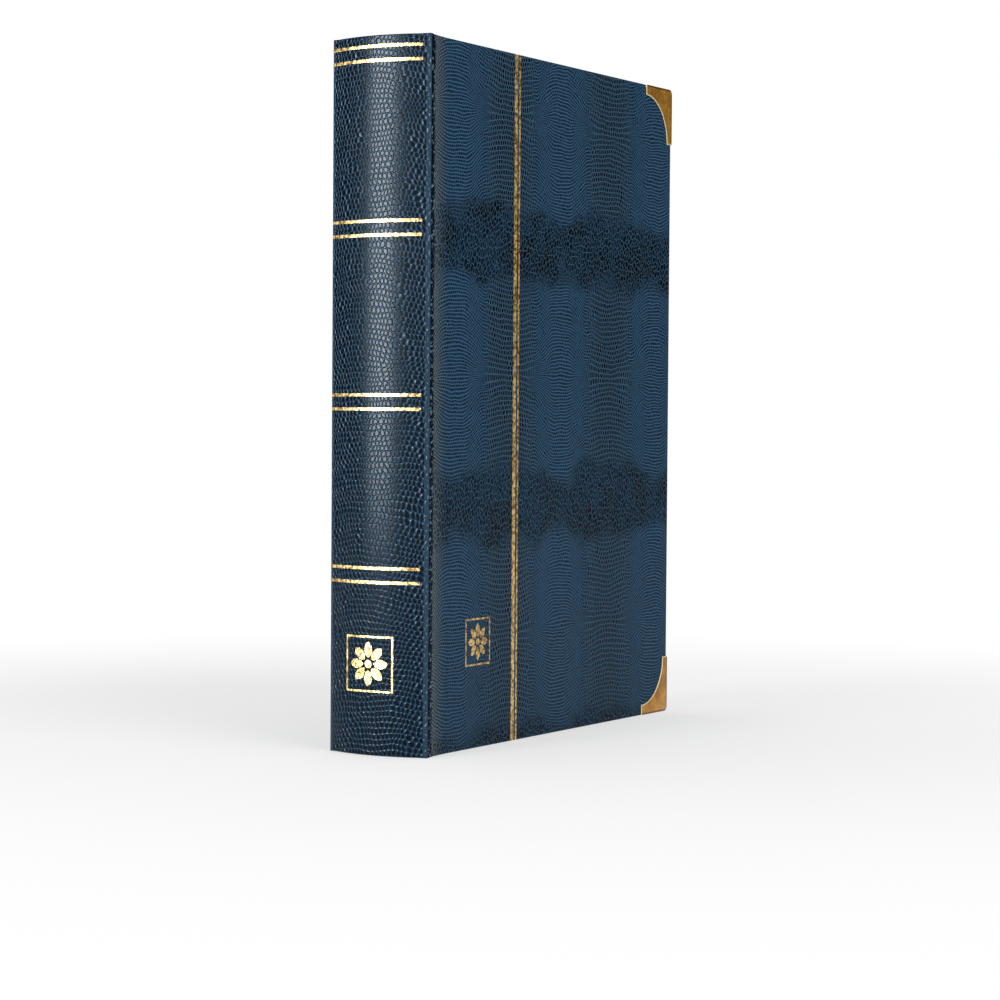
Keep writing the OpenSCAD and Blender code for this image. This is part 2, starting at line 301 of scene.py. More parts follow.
def new_group(name: str, inputs: list[GroupSocket], outputs: list[GroupSocket]) -> tuple[
        Graph, bpy.types.NodeOutputs, bpy.types.NodeInputs]:
    """Starts a shader node group.

    Args:
        name: The group's name.
        inputs: Its inputs.
        outputs: Its outputs.

    Returns:
        The group's graph, and the sockets inside it: what comes in and what goes out.
    """
    tree = bpy.data.node_groups.new(name, "ShaderNodeTree")
    for socket in inputs:
        tree.interface.new_socket(name=socket.name, in_out="INPUT", socket_type=socket.kind)
    for socket in outputs:
        tree.interface.new_socket(name=socket.name, in_out="OUTPUT", socket_type=socket.kind)
    graph = Graph(tree)
    entry = graph.node("NodeGroupInput")
    leave = graph.node("NodeGroupOutput")
    return graph, entry.outputs, leave.inputs


@dataclass(frozen=True)
class LaidCells:
    """Small upright cells in rows, laid like bricks.

    Every other row is shifted by part of a cell. An outline starts and is full, and a groove starts,
    so many line or groove widths inside the cell's side.
    """

    shift: float = 0.5
    line_start: float = 1.9
    line_full: float = 0.9
    groove_start: float = 2.0

    def build(self) -> bpy.types.NodeTree:
        """Builds the group.

        Returns:
            The group, which puts out the outline, the dome and a tone for each cell.
        """
        inputs = numbers("Row", "Column", "Unevenness", "Line Width", "Groove Width", "Upright Share",
                         "Level Share", "Roundness")
        graph, given, made = new_group("laid_cells", inputs, numbers("Outline", "Dome", "Tone"))
        level = graph.math("FLOOR", given["Row"])
        stray = graph.node("ShaderNodeTexWhiteNoise", noise_dimensions="1D")
        graph.feed(stray.inputs["W"], level)
        stray = graph.math("MULTIPLY", stray.outputs["Value"], given["Unevenness"])
        brick = graph.math("MULTIPLY", graph.math("FLOORED_MODULO", level, 2.0), self.shift)
        column = graph.math("ADD", given["Column"], graph.math("ADD", stray, brick))
        upright = graph.math("FLOOR", column)
        beside = graph.off_middle(column, upright)
        above = graph.off_middle(given["Row"], level)
        power = given["Roundness"]
        above = graph.math("POWER", graph.math("MULTIPLY", above, given["Level Share"]), power)
        drawn = graph.math("POWER", graph.math("MULTIPLY", beside, given["Upright Share"]), power)
        swollen = graph.math("POWER", beside, power)
        root = graph.math("DIVIDE", 1.0, power)
        rim = graph.math("POWER", graph.math("ADD", drawn, above), root)
        hill = graph.math("POWER", graph.math("ADD", swollen, above), root)
        tone = graph.node("ShaderNodeTexWhiteNoise", noise_dimensions="2D")
        graph.feed(tone.inputs["Vector"], graph.vector(upright, level))
        line = [graph.math("MULTIPLY_ADD", given["Line Width"], -share, 1.0)
                for share in (self.line_start, self.line_full)]
        groove = graph.math("MULTIPLY_ADD", given["Groove Width"], -self.groove_start, 1.0)
        graph.feed(made["Outline"], graph.ramp(rim, *line))
        graph.feed(made["Dome"], graph.ramp(hill, groove, 1.0, 1.0, 0.0))
        graph.feed(made["Tone"], tone.outputs["Value"])
        return graph.tree


@dataclass(frozen=True)
class LizardScales:
    """The embossed lizard scales of the leatherette.

    Light columns carry fine rows that arch away from the nodes and pinch together beside them. Dark
    columns between them carry taller, level rows. Halfway between two nodes lies a dark band of
    uneven cells. Spans are levels of the waves that run across the columns and up them, from -1 to 1,
    and lines say how heavy an outline is at a cell's sides and at its ends.
    """

    drift: float = 4.0 * MM
    drift_scale: float = 60.0
    sway: float = 6.0 * MM
    sway_scale: float = 85.0
    swell_span: Span = (-0.45, 0.45)
    fall_span: Span = (1.0, -0.1)
    sag: float = 0.35
    ripple_scale: float = 45.0
    column_lift: float = 0.15
    crest_lift: float = 0.07
    band_span: Span = (-0.38, -0.76)
    border_scale: float = 160.0
    fine_span: Span = (-0.45, 0.0)
    crest_span: Span = (-0.95, 0.45)
    wobble: float = 1.6
    wobble_scale: float = 420.0
    level_line: tuple[float, float] = (1.1, 0.88)
    fine_line: tuple[float, float] = (0.8, 1.0)
    coarse_skew: tuple[float, float] = (0.3, -0.9)
    coarse_span: Span = (0.02, 0.12)

    def build(self, laid: bpy.types.NodeTree) -> bpy.types.NodeTree:
        """Builds the group.

        Args:
            laid: The group of laid cells.

        Returns:
            The group, which puts out the outline, the dome, the crest, the band and a tone for each cell.
        """
        inputs = numbers("Across", "Up", "Cell Width", "Row Pitch", "Fine Pitch", "Coarse Cell",
                         "Arch Height", "Wave Period", "Crest Place", "Band Period", "Node Place",
                         "Unevenness", "Band Share", "Fine Share", "Line Width", "Groove Width", "Roundness")
        outputs = numbers("Outline", "Dome", "Crest", "Band", "Tone")
        graph, given, made = new_group("lizard_scales", inputs, outputs)
        flat = graph.vector(given["Across"], given["Up"])
        across = graph.math("ADD", given["Across"], graph.waver(flat, self.sway_scale, 1.0, self.sway))
        up = graph.math("ADD", given["Up"], graph.waver(flat, self.drift_scale, 2.0, self.drift))

        turn = graph.math("SUBTRACT", across, given["Crest Place"])
        turn = graph.math("MULTIPLY", graph.math("DIVIDE", turn, given["Wave Period"]), math.tau)
        rise = graph.math("SUBTRACT", up, given["Node Place"])
        rise = graph.math("MULTIPLY", graph.math("DIVIDE", rise, given["Band Period"]), math.tau)
        wave = graph.math("COSINE", turn)
        swell = graph.math("SINE", rise)
        lean = graph.math("MULTIPLY_ADD", graph.ramp(swell, *self.swell_span), 2.0, -1.0)
        lean = graph.math("MULTIPLY", lean, given["Arch Height"])
        fall = graph.math("MULTIPLY", graph.ramp(wave, *self.fall_span), lean)
        sag = graph.math("MULTIPLY", graph.math("MULTIPLY_ADD", wave, self.sag, self.sag), lean)

        ripple = graph.waver(flat, self.ripple_scale, 4.0, 1.0)
        halfway = graph.math("ADD", graph.math("COSINE", rise), ripple)
        halfway = graph.math("MULTIPLY_ADD", graph.math("MULTIPLY", wave, wave), self.column_lift, halfway)
        halfway = graph.math("MULTIPLY_ADD", wave, self.crest_lift, halfway)
        band = graph.math("MULTIPLY", graph.ramp(halfway, *self.band_span), given["Band Share"])
        bordered = graph.math("ADD", wave, graph.waver(flat, self.border_scale, 4.0, 1.0))
        fine, crest = (graph.math("MULTIPLY", graph.ramp(bordered, *span), given["Fine Share"])
                       for span in (self.fine_span, self.crest_span))

        wobble = graph.math("MULTIPLY", graph.noise(flat, self.wobble_scale, 1.0),
                            graph.math("MULTIPLY", given["Unevenness"], self.wobble))
        column = graph.math("ADD", graph.math("DIVIDE", across, given["Cell Width"]), wobble)
        rows = ((graph.math("DIVIDE", graph.math("SUBTRACT", up, sag), given["Row Pitch"]), self.level_line),
                (graph.math("DIVIDE", graph.math("ADD", up, fall), given["Fine Pitch"]), self.fine_line))
        level, arched = (graph.group(laid, Row=row, Column=column, Unevenness=given["Unevenness"],
                                     Line_Width=given["Line Width"], Groove_Width=given["Groove Width"],
                                     Upright_Share=line[0], Level_Share=line[1],
                                     Roundness=given["Roundness"]).outputs for row, line in rows)
        uneven = self.add_coarse(graph, across, up, given)
        for name in ("Outline", "Dome", "Tone"):
            even = graph.blend(fine, level[name], arched[name])
            graph.feed(made[name], graph.blend(band, even, uneven[name]))
        graph.feed(made["Crest"], crest)
        graph.feed(made["Band"], band)
        return graph.tree

    def add_coarse(self, graph: Graph, across: Socket, up: Socket,
                   given: bpy.types.NodeOutputs) -> dict[str, Socket]:
        """Adds the uneven cells of the dark bands.

        Args:
            graph: The group's graph.
            across: The place across the columns.
            up: The place along them.
            given: The group's inputs.

        Returns:
            The outline, the dome and the tone of the cells, by name.
        """
        skew_up, skew_across = self.coarse_skew
        size = given["Coarse Cell"]
        left = graph.math("DIVIDE", graph.math("MULTIPLY_ADD", up, skew_up, across), size)
        right = graph.math("DIVIDE", graph.math("MULTIPLY_ADD", across, skew_across, up), size)
        found = {}
        for feature, output in (("DISTANCE_TO_EDGE", "Distance"), ("F1", "Color")):
            cell = graph.node("ShaderNodeTexVoronoi", voronoi_dimensions="2D", feature=feature)
            graph.feed(cell.inputs["Vector"], graph.vector(left, right))
            cell.inputs["Scale"].default_value = 1.0
            found[feature] = cell.outputs[output]
        edge = found["DISTANCE_TO_EDGE"]
        return {"Outline": graph.ramp(edge, *self.coarse_span, 1.0, 0.0),
                "Dome": graph.ramp(edge, 0.0, given["Groove Width"]),
                "Tone": graph.split(found["F1"])[0]}


def grain_group() -> bpy.types.NodeTree:
    """Builds a fine, even grain.

    Returns:
        The group, which puts out a fleck value and a height, both from 0 to 1.
    """
    inputs = [GroupSocket("Place", "NodeSocketVector"), *numbers("Grain Size")]
    graph, given, made = new_group("fine_grain", inputs, numbers("Fleck", "Height"))
    scale = graph.math("DIVIDE", 1.0, given["Grain Size"])
    for output, detail, factor in (("Fleck", 4.0, 0.35), ("Height", 2.0, 1.0)):
        noise = graph.node("ShaderNodeTexNoise", noise_dimensions="3D")
        graph.feed(noise.inputs["Vector"], given["Place"])
        graph.feed(noise.inputs["Scale"], graph.math("MULTIPLY", scale, factor))
        noise.inputs["Detail"].default_value = detail
        graph.feed(made[output], noise.outputs["Fac"])
    return graph.tree


def sheet_edge_group() -> bpy.types.NodeTree:
    """Builds a mask of the cut edges of a flat sheet.

    Returns:
        The group, which puts out 1 on the head, tail and fore edges of the sheet, and 0 on its faces.
    """
    inputs = numbers("Along", "Up", "Fore", "Head", "Tail", "Corner", "Depth")
    graph, given, made = new_group("sheet_edge", inputs, numbers("Edge"))
    corner = given["Corner"]
    middle = graph.math("MULTIPLY", graph.math("ADD", given["Head"], given["Tail"]), 0.5)
    half = graph.math("SUBTRACT", graph.math("SUBTRACT", given["Head"], middle), corner)
    out_up = graph.math("SUBTRACT", graph.math("ABSOLUTE", graph.math("SUBTRACT", given["Up"], middle)), half)
    out_fore = graph.math("SUBTRACT", given["Along"], graph.math("SUBTRACT", given["Fore"], corner))
    reach = graph.reach(graph.math("MAXIMUM", out_up, 0.0), graph.math("MAXIMUM", out_fore, 0.0))
    edge = graph.math("GREATER_THAN", reach, graph.math("SUBTRACT", corner, given["Depth"]))
    graph.feed(made["Edge"], edge)
    return graph.tree


@dataclass
class Groups:
    """The shared node groups."""

    scales: bpy.types.NodeTree = field(default_factory=lambda: LizardScales().build(LaidCells().build()))
    grain: bpy.types.NodeTree = field(default_factory=grain_group)
    sheet_edge: bpy.types.NodeTree = field(default_factory=sheet_edge_group)


GROUPS = Groups()


# Finishes


def new_material(name: str, **values: object) -> tuple[bpy.types.Material, Graph, bpy.types.Node]:
    """Starts a material.

    Args:
        name: The material's name.
        values: Values of the shader's own sockets, by name with _ for a space.

    Returns:
        The material, its graph and its shader.
    """
    material = bpy.data.materials.new(name)
    material.use_nodes = True
    graph = Graph(material.node_tree)
    shader = material.node_tree.nodes["Principled BSDF"]
    for key, value in values.items():
        shader.inputs[key.replace("_", " ")].default_value = value
    return material, graph, shader


def add_bump(graph: Graph, shader: bpy.types.Node, height: Socket, depth: float,
             strength: float = 1.0) -> None:
    """Gives a shader a bump.

    Args:
        graph: The material's graph.
        shader: The shader.
        height: The height, from 0 to 1.
        depth: What a height of 1 stands for, in metres.
        strength: How much of it shows.
    """
    bump = graph.node("ShaderNodeBump")
    bump.inputs["Strength"].default_value = strength
    bump.inputs["Distance"].default_value = depth
    graph.feed(bump.inputs["Height"], height)
    graph.feed(shader.inputs["Normal"], bump.outputs["Normal"])


def rgb(red: float, green: float, blue: float) -> Colour:
    """Returns a colour with full alpha."""
    return (red, green, blue, 1.0)


class Face(Enum):
    """Which way the patterned face of a leatherette piece lies."""

    COVER = "cover"
    SPINE = "spine"


@dataclass(frozen=True)
class Leatherette:
    """Embossed leatherette: dark cells with lighter outlines, in columns that fade between light and dark."""

    name: str
    face: Face
    ridge: float
    skin: float
    cell_width: float = 1.65 * MM
    row_pitch: float = 2.2 * MM
    fine_pitch: float = 1.55 * MM
    coarse_cell: float = 2.5 * MM
    arch_height: float = 9.0 * MM
    wave_period: float = 92.5 * MM
    crest: float = 22.5 * MM
    band_period: float = 115.0 * MM
    node_place: float = 48.0 * MM
    unevenness: float = 0.35
    band_share: float = 1.0
    fine_share: float = 1.0
    line_width: float = 0.2
    groove_width: float = 0.22
    roundness: float = 5.0
    # The lighter outline colours are partly the leatherette's printed two-tone and partly a painted highlight
    # for the light that the raised ridges between the cells catch.
    outline: Colour = rgb(0.043, 0.094, 0.150)
    outline_crest: Colour = rgb(0.055, 0.115, 0.182)
    outline_band: Colour = rgb(0.050, 0.106, 0.160)
    cell_crest: Colour = rgb(0.004, 0.025, 0.059)
    cell_trough: Colour = rgb(0.001, 0.003, 0.008)
    cell_band: Colour = rgb(0.001, 0.003, 0.007)
    cell_cloud: Colour = rgb(0.002, 0.012, 0.030)
    # A painted sheen: the cover's shoulder beside the crease turns lighter and greyer, in its outlines and
    # its cells.
    sheen_outline: Colour = rgb(0.140, 0.165, 0.185)
    painted_sheen: Colour = rgb(0.020, 0.036, 0.052)
    sheen_width: float = 17.0 * MM
    sheen_share: float = 0.95
    # Painted shade in the crease along the ridge, broken by bright flecks.
    crease_shade: Colour = rgb(0.001, 0.005, 0.014)
    crease_light: Colour = rgb(0.15, 0.21, 0.27)
    crease_width: float = 4.6 * MM
    crease_fade: Span = (1.1, 0.9)
    fleck_width: float = 10.0 * MM
    fold_width: float = 0.45 * MM
    fold_fade: Span = (0.8, 1.2)
    fold_share: float = 0.8
    fold_blue: Colour = rgb(0.030, 0.070, 0.115)
    spine_slope: float = 0.5
    cloud_scale: float = 40.0
    cloud_span: Span = (0.42, 0.58)
    tone_share: float = 0.9
    tone_least: float = 0.55
    stray: float = 3.0 * MM
    stray_scale: float = 330.0
    fleck_scale: float = 1000.0
    stitch_scale: float = 620.0
    fleck_span: Span = (0.56, 0.62)
    fleck_share: float = 0.8
    grain: float = 0.5 * MM
    grain_share: float = 0.12
    relief: float = 0.05 * MM
    roughness: float = 0.42
    groove_roughness: float = 0.5
    gloss: float = 0.03

    def build(self) -> bpy.types.Material:
        """Builds the material.

        Returns:
            The material.
        """
        material, graph, shader = new_material(self.name, Specular_IOR_Level=self.gloss)
        x, y, z = graph.split(graph.place())
        lift = graph.math("SUBTRACT", graph.math("ABSOLUTE", y), self.skin)
        if self.face is Face.COVER:
            across = graph.math("ADD", graph.math("SUBTRACT", x, self.ridge), lift)
            up = graph.math("ADD", z, lift)
        else:
            across = y
            up = graph.math("ADD", z, graph.math("MULTIPLY", x, self.spine_slope))
        scales = graph.group(GROUPS.scales, Across=across, Up=up, Cell_Width=self.cell_width,
                             Row_Pitch=self.row_pitch, Fine_Pitch=self.fine_pitch,
                             Coarse_Cell=self.coarse_cell, Line_Width=self.line_width,
                             Arch_Height=self.arch_height, Wave_Period=self.wave_period,
                             Crest_Place=self.crest, Band_Period=self.band_period,
                             Node_Place=self.node_place, Unevenness=self.unevenness,
                             Band_Share=self.band_share, Fine_Share=self.fine_share,
                             Groove_Width=self.groove_width, Roundness=self.roundness)
        out = scales.outputs
        cell = graph.mix(out["Crest"], self.cell_trough, self.cell_crest)
        cloud = graph.ramp(graph.noise(graph.vector(across, up), self.cloud_scale), *self.cloud_span)
        cell = graph.mix(out["Band"], cell, graph.mix(cloud, self.cell_band, self.cell_cloud))
        cell = graph.shaded(cell, out["Tone"], self.tone_share, self.tone_least)
        # Outlines: partly printed two-tone, partly a painted highlight on the raised ridges.
        line = graph.mix(out["Crest"], self.outline, self.outline_crest)
        line = graph.mix(out["Band"], line, self.outline_band)
        colour = graph.mix(out["Outline"], cell, line)
        colour = self.work_ridge(graph, colour, out["Outline"], across, up)
        graph.feed(shader.inputs["Base Color"], colour)
        grain = graph.group(GROUPS.grain, Place=graph.place(), Grain_Size=self.grain)
        polish = graph.blend(out["Dome"], self.groove_roughness, self.roughness)
        polish = graph.math("SUBTRACT", polish, self.grain_share / 2.0)
        polish = graph.math("MULTIPLY_ADD", grain.outputs["Fleck"], self.grain_share, polish)
        graph.feed(shader.inputs["Roughness"], polish)
        add_bump(graph, shader, out["Dome"], self.relief)
        return material

    def work_ridge(self, graph: Graph, colour: Socket, outline: Socket, across: Socket, up: Socket) -> Socket:
        """Works the ridge into the colour: painted shade in the crease with bright flecks, and a painted
        sheen on the shoulder beside it.

        Args:
            graph: The material's graph.
            colour: The colour so far.
            outline: The outlines.
            across: The place across the face.
            up: The place along the ridge.

        Returns:
            The colour with the ridge.
        """
        if self.face is Face.SPINE:
            beside = graph.math("SUBTRACT", self.skin, graph.math("ABSOLUTE", across))
            ends = (self.fold_width * part for part in self.fold_fade)
            return graph.mix(graph.ramp(beside, *ends, self.fold_share, 0.0), colour, self.fold_blue)
        flat = graph.vector(across, up)
        edge = graph.math("MULTIPLY_ADD", graph.noise(flat, self.stray_scale), self.stray,
                          graph.math("SUBTRACT", across, self.stray / 2.0))
        # Painted sheen on the shoulder beside the crease: lighter, greyer outlines and cells.
        sheen = graph.ramp(edge, self.crease_width, self.sheen_width, self.sheen_share, 0.0)
        colour = graph.mix(sheen, colour, graph.mix(outline, self.painted_sheen, self.sheen_outline))
        fleck = graph.ramp(graph.noise(flat, self.fleck_scale, 2.0), *self.fleck_span)
        near = graph.ramp(edge, self.crease_width, self.fleck_width, self.fleck_share, 0.0)
        colour = graph.mix(graph.math("MULTIPLY", fleck, near), colour, self.crease_light)
        # Painted shade in the crease, with bright flecks.
        stitch = graph.ramp(graph.noise(flat, self.stitch_scale, 2.0), *self.fleck_span)
        crease = graph.mix(stitch, self.crease_shade, self.crease_light)
        ends = (self.crease_width * part for part in self.crease_fade)
        return graph.mix(graph.ramp(edge, *ends), colour, crease)


@dataclass(frozen=True)
class GoldFoil:
    """Hot-stamped gold foil, slightly broken over the cells below it."""

    name: str = "gold_foil"
    bright: Colour = rgb(0.92, 0.65, 0.25)
    deep: Colour = rgb(0.23, 0.11, 0.015)
    gap: Colour = rgb(0.03, 0.025, 0.02)
    cloud_scale: float = 700.0
    cloud_span: Span = (0.38, 0.62)
    speck_scale: float = 1100.0
    speck_span: Span = (0.4, 0.34)
    metal: float = 0.45
    metal_lost: float = 0.35
    ripple_scale: float = 900.0
    relief: float = 0.12 * MM
    roughness: float = 0.22
    cloud_roughness: float = 0.3

    def build(self) -> bpy.types.Material:
        """Builds the material.

        Returns:
            The material.
        """
        material, graph, shader = new_material(self.name)
        place = graph.place()
        cloud = graph.noise(place, self.cloud_scale)
        speck = graph.ramp(graph.noise(place, self.speck_scale, 2.0), *self.speck_span)
        colour = graph.mix(graph.ramp(cloud, *self.cloud_span), self.deep, self.bright)
        polish = graph.math("MULTIPLY_ADD", cloud, self.cloud_roughness, self.roughness)
        graph.feed(shader.inputs["Base Color"], graph.mix(speck, colour, self.gap))
        graph.feed(shader.inputs["Metallic"], graph.math("MULTIPLY_ADD", speck, -self.metal_lost, self.metal))
        graph.feed(shader.inputs["Roughness"], polish)
        add_bump(graph, shader, graph.noise(place, self.ripple_scale, 2.0), self.relief)
        return material


@dataclass(frozen=True)
class Brass:
    """Satin brass plate with a painted highlight along its inner edge and painted shade along its outer
    edges.
    """

    fore: float
    head: float
    tail: float
    leg: float
    tip: float = 5.0 * MM
    name: str = "corner_brass"
    light: Colour = rgb(0.66, 0.31, 0.045)
    deep: Colour = rgb(0.42, 0.19, 0.025)
    # bright is a painted highlight on the bevel of the inner edge, rim wide; dark is painted shade along the
    # outer edges, border wide.
    bright: Colour = rgb(1.0, 0.84, 0.48)
    dark: Colour = rgb(0.13, 0.075, 0.02)
    rim: float = 0.75 * MM
    rim_fade: float = 0.6
    border: float = 1.1 * MM
    border_fade: float = 0.5
    cloud_scale: float = 190.0
    cloud_span: Span = (0.35, 0.65)
    grain: float = 0.35 * MM
    relief: float = 0.01 * MM
    metal: float = 0.5
    roughness: float = 0.26
    grain_roughness: float = 0.25

    def build(self) -> bpy.types.Material:
        """Builds the material.

        Returns:
            The material.
        """
        material, graph, shader = new_material(self.name, Metallic=self.metal)
        place = graph.place()
        x, _, z = graph.split(place)
        inset = graph.math("SUBTRACT", self.fore, x)
        depth = graph.math("MINIMUM", graph.math("SUBTRACT", z, self.tail),
                           graph.math("SUBTRACT", self.head, z))
        reach = graph.vector(graph.math("SUBTRACT", self.leg, inset), graph.math("SUBTRACT", self.leg, depth))
        arc = graph.node("ShaderNodeVectorMath", operation="LENGTH")
        graph.feed(arc.inputs[0], reach)
        arc = graph.math("SUBTRACT", arc.outputs["Value"], self.leg - self.tip)
        end = graph.math("SUBTRACT", self.leg, graph.math("MAXIMUM", inset, depth))
        # A painted highlight along the inner edge, and painted shade along the outer edges.
        painted_sheen = graph.ramp(graph.math("MINIMUM", arc, end), self.rim, self.rim * self.rim_fade)
        edge = graph.ramp(graph.math("MINIMUM", inset, depth), self.border, self.border * self.border_fade)
        cloud = graph.ramp(graph.noise(place, self.cloud_scale, 5.0), *self.cloud_span)
        grain = graph.group(GROUPS.grain, Place=place, Grain_Size=self.grain)
        colour = graph.mix(edge, graph.mix(cloud, self.deep, self.light), self.dark)
        polish = graph.math("MULTIPLY_ADD", grain.outputs["Fleck"], self.grain_roughness, self.roughness)
        graph.feed(shader.inputs["Base Color"], graph.mix(painted_sheen, colour, self.bright))
        graph.feed(shader.inputs["Roughness"], polish)
        add_bump(graph, shader, grain.outputs["Height"], self.relief)
        return material


@dataclass(frozen=True)
class LeafCard:
    """White card with cream glassine strips, a linen hinge and grey cut edges."""

    name: str
    linen_end: float
    fore: float
    head: float
    tail: float
    strip_start: float
    strip_end: float
    strip_top: float = 31.0 * MM
    strip_pitch: float = 29.5 * MM
    strip_height: float = 18.6 * MM
    strips: int = 9
    corner: float = 1.5 * MM
    cut_depth: float = 0.02 * MM
    white: Colour = rgb(0.86, 0.86, 0.90)
    film: Colour = rgb(0.76, 0.745, 0.69)
    linen: Colour = rgb(0.80, 0.79, 0.77)
    # The grey of the cut edges is partly painted shade.
    cut: Colour = rgb(0.27, 0.25, 0.235)
    fibre: float = 0.6 * MM
    fibre_shade: float = 0.08
    relief: float = 0.02 * MM
    roughness: float = 0.62
    film_polish: float = 0.22
    gloss: float = 0.35

    def build(self) -> bpy.types.Material:
        """Builds the material.

        Returns:
            The material.
        """
        material, graph, shader = new_material(self.name, Specular_IOR_Level=self.gloss)
        place = graph.place()
        x, _, z = graph.split(place)
        strip = self.mark_strips(graph, x, z)
        linen = graph.math("LESS_THAN", x, self.linen_end)
        edge = graph.group(GROUPS.sheet_edge, Along=x, Up=z, Fore=self.fore, Head=self.head,
                           Tail=self.tail, Corner=self.corner, Depth=self.cut_depth).outputs["Edge"]
        colour = graph.mix(strip, self.white, self.film)
        colour = graph.mix(linen, colour, self.linen)
        colour = graph.mix(edge, colour, self.cut)
        fibre = graph.group(GROUPS.grain, Place=place, Grain_Size=self.fibre)
        colour = graph.shaded(colour, fibre.outputs["Fleck"], self.fibre_shade, 1.0 - self.fibre_shade / 2.0)
        polish = graph.math("MULTIPLY_ADD", strip, -self.film_polish, self.roughness)
        graph.feed(shader.inputs["Base Color"], colour)
        graph.feed(shader.inputs["Roughness"], polish)
        add_bump(graph, shader, fibre.outputs["Height"], self.relief)
        return material

    def mark_strips(self, graph: Graph, x: Socket, z: Socket) -> Socket:
        """Marks where the pocket strips lie.

        Args:
            graph: The material's graph.
            x: The place from the spine to the fore edge.
            z: The place from the tail to the head.

        Returns:
            1 on the strips, and 0 beside and between them.
        """
        down = graph.math("SUBTRACT", self.head - self.strip_top, z)
        step = graph.math("FLOORED_MODULO", down, self.strip_pitch)
        strip = graph.math("LESS_THAN", step, self.strip_height)
        for operation, value, limit in (("GREATER_THAN", down, 0.0),
                                        ("LESS_THAN", down, self.strips * self.strip_pitch),
                                        ("GREATER_THAN", x, self.strip_start),
                                        ("LESS_THAN", x, self.strip_end)):
            strip = graph.math("MULTIPLY", strip, graph.math(operation, value, limit))
        return strip


@dataclass(frozen=True)
class Glassine:
    """Thin translucent glassine with faint wrinkles."""

    name: str = "glassine"
    tint: Colour = rgb(0.92, 0.92, 0.895)
    stretch: float = 0.45
    wrinkle_scale: float = 110.0
    wrinkle_shade: float = 0.06
    wrinkle_alpha: float = 0.08
    relief: float = 1.2 * MM
    relief_share: float = 0.6
    roughness: float = 0.42
    alpha: float = 0.78
    gloss: float = 0.4

    def build(self) -> bpy.types.Material:
        """Builds the material.

        Returns:
            The material.
        """
        material, graph, shader = new_material(self.name, Roughness=self.roughness,
                                               Specular_IOR_Level=self.gloss)
        stretched = graph.node("ShaderNodeMapping")
        graph.feed(stretched.inputs["Vector"], graph.place())
        stretched.inputs["Scale"].default_value = (1.0, 1.0, self.stretch)
        wrinkle = graph.noise(stretched.outputs[0], self.wrinkle_scale, 4.0, 0.6)
        colour = graph.shaded(self.tint, wrinkle, self.wrinkle_shade, 1.0 - self.wrinkle_shade / 2.0)
        alpha = graph.math("MULTIPLY_ADD", wrinkle, self.wrinkle_alpha, self.alpha - self.wrinkle_alpha / 2.0)
        graph.feed(shader.inputs["Base Color"], colour)
        graph.feed(shader.inputs["Alpha"], alpha)
        add_bump(graph, shader, wrinkle, self.relief, self.relief_share)
        return material


@dataclass(frozen=True)
class PlainPaper:
    """Uncoated paper, board or cloth with a visible fibre."""

    name: str
    colour: Colour
    flecked: Colour
    fibre: float = 0.7 * MM
    fibre_span: Span = (0.35, 0.7)
    relief: float = 0.04 * MM
    roughness: float = 0.8
    gloss: float = 0.25

    def build(self) -> bpy.types.Material:
        """Builds the material.

        Returns:
            The material.
        """
        material, graph, shader = new_material(self.name, Roughness=self.roughness,
                                               Specular_IOR_Level=self.gloss)
        fibre = graph.group(GROUPS.grain, Place=graph.place(), Grain_Size=self.fibre)
        fleck = graph.ramp(fibre.outputs["Fleck"], *self.fibre_span)
        graph.feed(shader.inputs["Base Color"], graph.mix(fleck, self.colour, self.flecked))
        add_bump(graph, shader, fibre.outputs["Height"], self.relief)
        return material


# Meshes


class Part(Enum):
    """What is selected of a mesh."""

    POINTS = "VERT"
    EDGES = "EDGE"


def only(piece: bpy.types.Object) -> None:
    """Selects one object and makes it active.

    Args:
        piece: The object.
    """
    bpy.ops.object.select_all(action="DESELECT")
    piece.select_set(True)
    bpy.context.view_layer.objects.active = piece


def dress(piece: bpy.types.Object, material: bpy.types.Material) -> None:
    """Gives a piece one material."""
    piece.data.materials.clear()
    piece.data.materials.append(material)


def open_mesh(piece: bpy.types.Object) -> None:
    """Opens a piece in edit mode with all of its mesh selected.

    Args:
        piece: The piece.
    """
    only(piece)
    bpy.ops.object.mode_set(mode="EDIT")
    bpy.ops.mesh.select_mode(type=Part.POINTS.value)
    bpy.ops.mesh.select_all(action="SELECT")


def open_some(piece: bpy.types.Object, part: Part, chosen: Callable[..., bool]) -> None:
    """Opens a piece in edit mode with some of its points or edges selected.

    Args:
        piece: The piece.
        part: What is selected.
        chosen: Says of a point's place, or of the places of an edge's two ends, whether it is selected.
    """
    open_mesh(piece)
    bpy.ops.mesh.select_mode(type=part.value)
    bpy.ops.mesh.select_all(action="DESELECT")
    bpy.ops.object.mode_set(mode="OBJECT")
    places = [vertex.co.copy() for vertex in piece.data.vertices]
    if part is Part.POINTS:
        for vertex, place in zip(piece.data.vertices, places):
            vertex.select = chosen(place)
    else:
        for edge in piece.data.edges:
            edge.select = chosen(*(places[end] for end in edge.vertices))
    bpy.ops.object.mode_set(mode="EDIT")


def close_mesh() -> None:
    """Leaves edit mode with nothing selected."""
    bpy.ops.mesh.select_mode(type=Part.POINTS.value)
    bpy.ops.mesh.select_all(action="DESELECT")
    bpy.ops.object.mode_set(mode="OBJECT")


